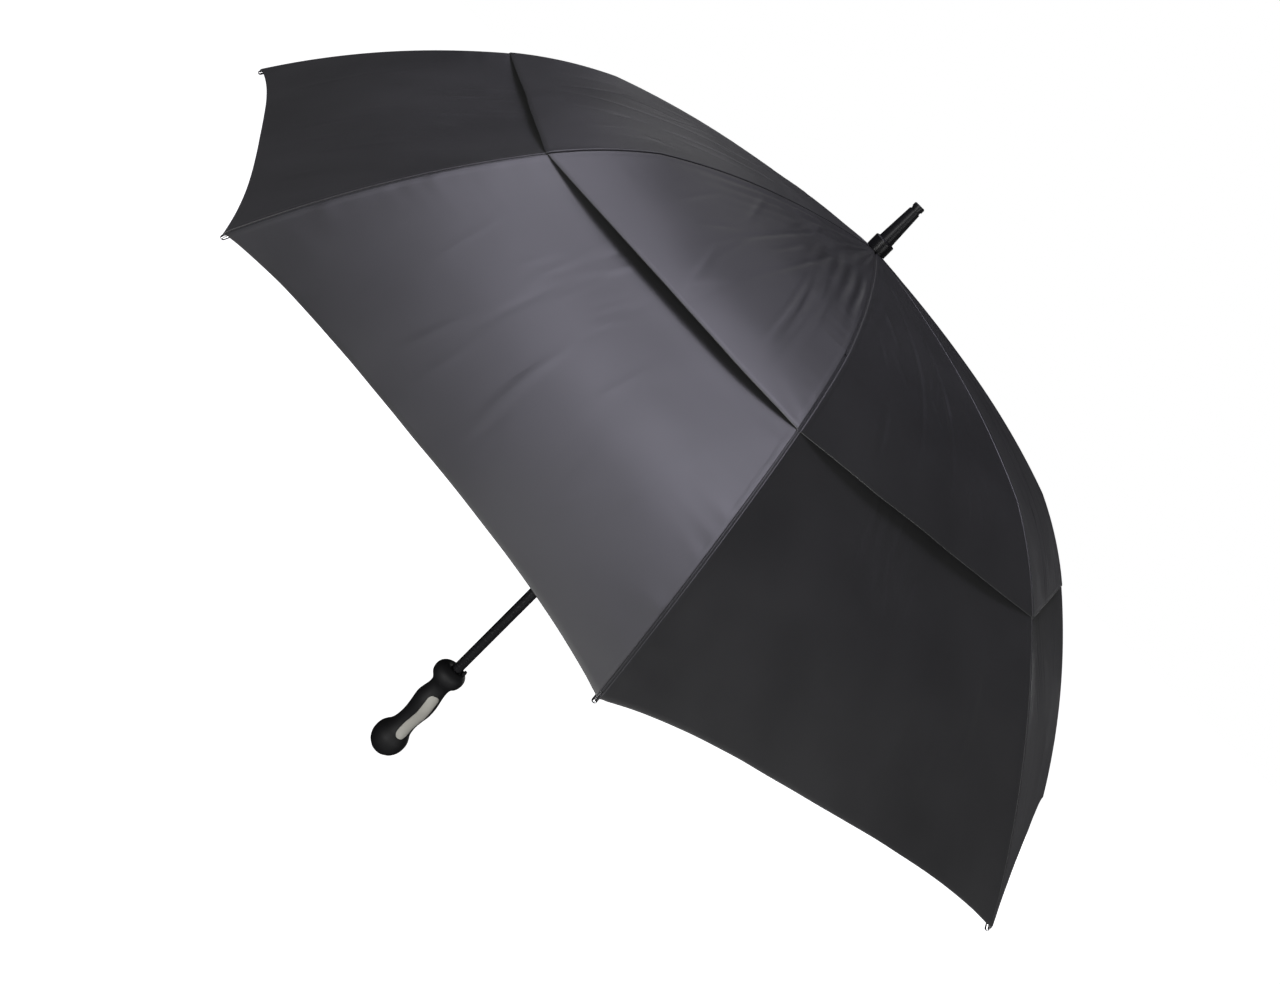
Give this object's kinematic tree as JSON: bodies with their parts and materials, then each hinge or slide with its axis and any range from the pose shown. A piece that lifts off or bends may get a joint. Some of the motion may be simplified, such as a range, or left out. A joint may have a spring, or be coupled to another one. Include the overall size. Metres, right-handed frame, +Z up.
{
  "type": "golf umbrella",
  "caption": "Open golf umbrella with a vented double canopy, ribs on a sliding runner, a straight shaft, ferrule and shaped rubber handle.",
  "frame": {"origin": "lowest point of the handle's pommel, on the shaft's axis", "axes": "+Z up the shaft from the handle to the ferrule; +X along rib 1, on the release button's side"},
  "size_m": [1.3006, 1.3006, 0.983],
  "materials": {
    "shaft": "satin black enamel",
    "black_plastic": "moulded, slight sheen",
    "spring_steel": "bright wire",
    "grip_rubber": "matte soft-touch",
    "grip_insert": "warm grey, matte",
    "rib_frame": "black glass fibre",
    "rib_tip": "bright nickel",
    "canopy_cloth": "woven satin, soft sheen"
  },
  "bodies": {
    "shaft": {"shaft_tube": "shaft", "ferrule": "black_plastic", "ferrule_tip": "black_plastic", "notch": "black_plastic", "drive_spring": "spring_steel", "handle_core": "black_plastic", "grip": "grip_rubber", "grip_inserts": "grip_insert", "button_spring": "spring_steel"},
    "runner": {"runner": "black_plastic", "runner_key": "black_plastic"},
    "release_button": {"release_button": "black_plastic"},
    "inner_rib_1": {"inner_rib_1": "rib_frame", "upper_canopy_1": "canopy_cloth"},
    "outer_rib_1": {"outer_rib_1": "rib_frame", "rib_tip_1": "rib_tip", "lower_canopy_1": "canopy_cloth"},
    "stretcher_1": {"stretcher_1": "rib_frame"},
    "inner_rib_2": {"inner_rib_2": "rib_frame", "upper_canopy_2": "canopy_cloth"},
    "outer_rib_2": {"outer_rib_2": "rib_frame", "rib_tip_2": "rib_tip", "lower_canopy_2": "canopy_cloth"},
    "stretcher_2": {"stretcher_2": "rib_frame"},
    "inner_rib_3": {"inner_rib_3": "rib_frame", "upper_canopy_3": "canopy_cloth"},
    "outer_rib_3": {"outer_rib_3": "rib_frame", "rib_tip_3": "rib_tip", "lower_canopy_3": "canopy_cloth"},
    "stretcher_3": {"stretcher_3": "rib_frame"},
    "inner_rib_4": {"inner_rib_4": "rib_frame", "upper_canopy_4": "canopy_cloth"},
    "outer_rib_4": {"outer_rib_4": "rib_frame", "rib_tip_4": "rib_tip", "lower_canopy_4": "canopy_cloth"},
    "stretcher_4": {"stretcher_4": "rib_frame"},
    "inner_rib_5": {"inner_rib_5": "rib_frame", "upper_canopy_5": "canopy_cloth"},
    "outer_rib_5": {"outer_rib_5": "rib_frame", "rib_tip_5": "rib_tip", "lower_canopy_5": "canopy_cloth"},
    "stretcher_5": {"stretcher_5": "rib_frame"},
    "inner_rib_6": {"inner_rib_6": "rib_frame", "upper_canopy_6": "canopy_cloth"},
    "outer_rib_6": {"outer_rib_6": "rib_frame", "rib_tip_6": "rib_tip", "lower_canopy_6": "canopy_cloth"},
    "stretcher_6": {"stretcher_6": "rib_frame"},
    "inner_rib_7": {"inner_rib_7": "rib_frame", "upper_canopy_7": "canopy_cloth"},
    "outer_rib_7": {"outer_rib_7": "rib_frame", "rib_tip_7": "rib_tip", "lower_canopy_7": "canopy_cloth"},
    "stretcher_7": {"stretcher_7": "rib_frame"},
    "inner_rib_8": {"inner_rib_8": "rib_frame", "upper_canopy_8": "canopy_cloth"},
    "outer_rib_8": {"outer_rib_8": "rib_frame", "rib_tip_8": "rib_tip", "lower_canopy_8": "canopy_cloth"},
    "stretcher_8": {"stretcher_8": "rib_frame"}
  },
  "joints": [
    {"name": "runner_slide", "type": "slide", "parent": "shaft", "child": "runner", "axis": [0, 0, 1], "range_m": [-0.49409, 0], "stiffness_N_per_m": 60, "springref_m": 0.2, "deforming": ["drive_spring"]},
    {"name": "button_press", "type": "slide", "parent": "shaft", "child": "release_button", "axis": [-1, 0, 0], "range_m": [0, 0.0018], "stiffness_N_per_m": 800, "springref_m": -0.002, "deforming": ["button_spring"]},
    {"name": "rib_fold_1", "type": "hinge", "parent": "shaft", "child": "inner_rib_1", "pos_m": [0.011, 0, 0.9065], "axis": [0, 1, 0], "range_deg": [0, 78.51], "deforming": ["upper_canopy_1"]},
    {"name": "rib_unbend_1", "type": "hinge", "parent": "inner_rib_1", "child": "outer_rib_1", "pos_m": [0.345, 0, 0.846], "axis": [0, 1, 0], "range_deg": [-31.41, 0], "deforming": ["lower_canopy_1"]},
    {"name": "stretcher_swing_1", "type": "hinge", "parent": "inner_rib_1", "child": "stretcher_1", "pos_m": [0.3425, 0, 0.8392], "axis": [0, 1, 0], "range_deg": [-146.7, 0]},
    {"name": "rib_fold_2", "type": "hinge", "parent": "shaft", "child": "inner_rib_2", "pos_m": [0.00778, 0.00778, 0.9065], "axis": [-0.7071, 0.7071, 0], "range_deg": [0, 78.51], "deforming": ["upper_canopy_2"]},
    {"name": "rib_unbend_2", "type": "hinge", "parent": "inner_rib_2", "child": "outer_rib_2", "pos_m": [0.24395, 0.24395, 0.846], "axis": [-0.7071, 0.7071, 0], "range_deg": [-31.41, 0], "deforming": ["lower_canopy_2"]},
    {"name": "stretcher_swing_2", "type": "hinge", "parent": "inner_rib_2", "child": "stretcher_2", "pos_m": [0.24218, 0.24218, 0.8392], "axis": [-0.7071, 0.7071, 0], "range_deg": [-146.7, 0]},
    {"name": "rib_fold_3", "type": "hinge", "parent": "shaft", "child": "inner_rib_3", "pos_m": [0, 0.011, 0.9065], "axis": [-1, 0, 0], "range_deg": [0, 78.51], "deforming": ["upper_canopy_3"]},
    {"name": "rib_unbend_3", "type": "hinge", "parent": "inner_rib_3", "child": "outer_rib_3", "pos_m": [0, 0.345, 0.846], "axis": [-1, 0, 0], "range_deg": [-31.41, 0], "deforming": ["lower_canopy_3"]},
    {"name": "stretcher_swing_3", "type": "hinge", "parent": "inner_rib_3", "child": "stretcher_3", "pos_m": [0, 0.3425, 0.8392], "axis": [-1, 0, 0], "range_deg": [-146.7, 0]},
    {"name": "rib_fold_4", "type": "hinge", "parent": "shaft", "child": "inner_rib_4", "pos_m": [-0.00778, 0.00778, 0.9065], "axis": [-0.7071, -0.7071, 0], "range_deg": [0, 78.51], "deforming": ["upper_canopy_4"]},
    {"name": "rib_unbend_4", "type": "hinge", "parent": "inner_rib_4", "child": "outer_rib_4", "pos_m": [-0.24395, 0.24395, 0.846], "axis": [-0.7071, -0.7071, 0], "range_deg": [-31.41, 0], "deforming": ["lower_canopy_4"]},
    {"name": "stretcher_swing_4", "type": "hinge", "parent": "inner_rib_4", "child": "stretcher_4", "pos_m": [-0.24218, 0.24218, 0.8392], "axis": [-0.7071, -0.7071, 0], "range_deg": [-146.7, 0]},
    {"name": "rib_fold_5", "type": "hinge", "parent": "shaft", "child": "inner_rib_5", "pos_m": [-0.011, 0, 0.9065], "axis": [0, -1, 0], "range_deg": [0, 78.51], "deforming": ["upper_canopy_5"]},
    {"name": "rib_unbend_5", "type": "hinge", "parent": "inner_rib_5", "child": "outer_rib_5", "pos_m": [-0.345, 0, 0.846], "axis": [0, -1, 0], "range_deg": [-31.41, 0], "deforming": ["lower_canopy_5"]},
    {"name": "stretcher_swing_5", "type": "hinge", "parent": "inner_rib_5", "child": "stretcher_5", "pos_m": [-0.3425, 0, 0.8392], "axis": [0, -1, 0], "range_deg": [-146.7, 0]},
    {"name": "rib_fold_6", "type": "hinge", "parent": "shaft", "child": "inner_rib_6", "pos_m": [-0.00778, -0.00778, 0.9065], "axis": [0.7071, -0.7071, 0], "range_deg": [0, 78.51], "deforming": ["upper_canopy_6"]},
    {"name": "rib_unbend_6", "type": "hinge", "parent": "inner_rib_6", "child": "outer_rib_6", "pos_m": [-0.24395, -0.24395, 0.846], "axis": [0.7071, -0.7071, 0], "range_deg": [-31.41, 0], "deforming": ["lower_canopy_6"]},
    {"name": "stretcher_swing_6", "type": "hinge", "parent": "inner_rib_6", "child": "stretcher_6", "pos_m": [-0.24218, -0.24218, 0.8392], "axis": [0.7071, -0.7071, 0], "range_deg": [-146.7, 0]},
    {"name": "rib_fold_7", "type": "hinge", "parent": "shaft", "child": "inner_rib_7", "pos_m": [0, -0.011, 0.9065], "axis": [1, 0, 0], "range_deg": [0, 78.51], "deforming": ["upper_canopy_7"]},
    {"name": "rib_unbend_7", "type": "hinge", "parent": "inner_rib_7", "child": "outer_rib_7", "pos_m": [0, -0.345, 0.846], "axis": [1, 0, 0], "range_deg": [-31.41, 0], "deforming": ["lower_canopy_7"]},
    {"name": "stretcher_swing_7", "type": "hinge", "parent": "inner_rib_7", "child": "stretcher_7", "pos_m": [0, -0.3425, 0.8392], "axis": [1, 0, 0], "range_deg": [-146.7, 0]},
    {"name": "rib_fold_8", "type": "hinge", "parent": "shaft", "child": "inner_rib_8", "pos_m": [0.00778, -0.00778, 0.9065], "axis": [0.7071, 0.7071, 0], "range_deg": [0, 78.51], "deforming": ["upper_canopy_8"]},
    {"name": "rib_unbend_8", "type": "hinge", "parent": "inner_rib_8", "child": "outer_rib_8", "pos_m": [0.24395, -0.24395, 0.846], "axis": [0.7071, 0.7071, 0], "range_deg": [-31.41, 0], "deforming": ["lower_canopy_8"]},
    {"name": "stretcher_swing_8", "type": "hinge", "parent": "inner_rib_8", "child": "stretcher_8", "pos_m": [0.24218, -0.24218, 0.8392], "axis": [0.7071, 0.7071, 0], "range_deg": [-146.7, 0]}
  ],
  "couplings": [
    {"joint": "rib_fold_1", "follows": "runner_slide", "rad_per_m": -2.7729},
    {"joint": "rib_unbend_1", "follows": "runner_slide", "rad_per_m": 1.1092},
    {"joint": "stretcher_swing_1", "follows": "runner_slide", "rad_per_m": 5.1816},
    {"joint": "rib_fold_2", "follows": "runner_slide", "rad_per_m": -2.7729},
    {"joint": "rib_unbend_2", "follows": "runner_slide", "rad_per_m": 1.1092},
    {"joint": "stretcher_swing_2", "follows": "runner_slide", "rad_per_m": 5.1816},
    {"joint": "rib_fold_3", "follows": "runner_slide", "rad_per_m": -2.7729},
    {"joint": "rib_unbend_3", "follows": "runner_slide", "rad_per_m": 1.1092},
    {"joint": "stretcher_swing_3", "follows": "runner_slide", "rad_per_m": 5.1816},
    {"joint": "rib_fold_4", "follows": "runner_slide", "rad_per_m": -2.7729},
    {"joint": "rib_unbend_4", "follows": "runner_slide", "rad_per_m": 1.1092},
    {"joint": "stretcher_swing_4", "follows": "runner_slide", "rad_per_m": 5.1816},
    {"joint": "rib_fold_5", "follows": "runner_slide", "rad_per_m": -2.7729},
    {"joint": "rib_unbend_5", "follows": "runner_slide", "rad_per_m": 1.1092},
    {"joint": "stretcher_swing_5", "follows": "runner_slide", "rad_per_m": 5.1816},
    {"joint": "rib_fold_6", "follows": "runner_slide", "rad_per_m": -2.7729},
    {"joint": "rib_unbend_6", "follows": "runner_slide", "rad_per_m": 1.1092},
    {"joint": "stretcher_swing_6", "follows": "runner_slide", "rad_per_m": 5.1816},
    {"joint": "rib_fold_7", "follows": "runner_slide", "rad_per_m": -2.7729},
    {"joint": "rib_unbend_7", "follows": "runner_slide", "rad_per_m": 1.1092},
    {"joint": "stretcher_swing_7", "follows": "runner_slide", "rad_per_m": 5.1816},
    {"joint": "rib_fold_8", "follows": "runner_slide", "rad_per_m": -2.7729},
    {"joint": "rib_unbend_8", "follows": "runner_slide", "rad_per_m": 1.1092},
    {"joint": "stretcher_swing_8", "follows": "runner_slide", "rad_per_m": 5.1816}
  ]
}
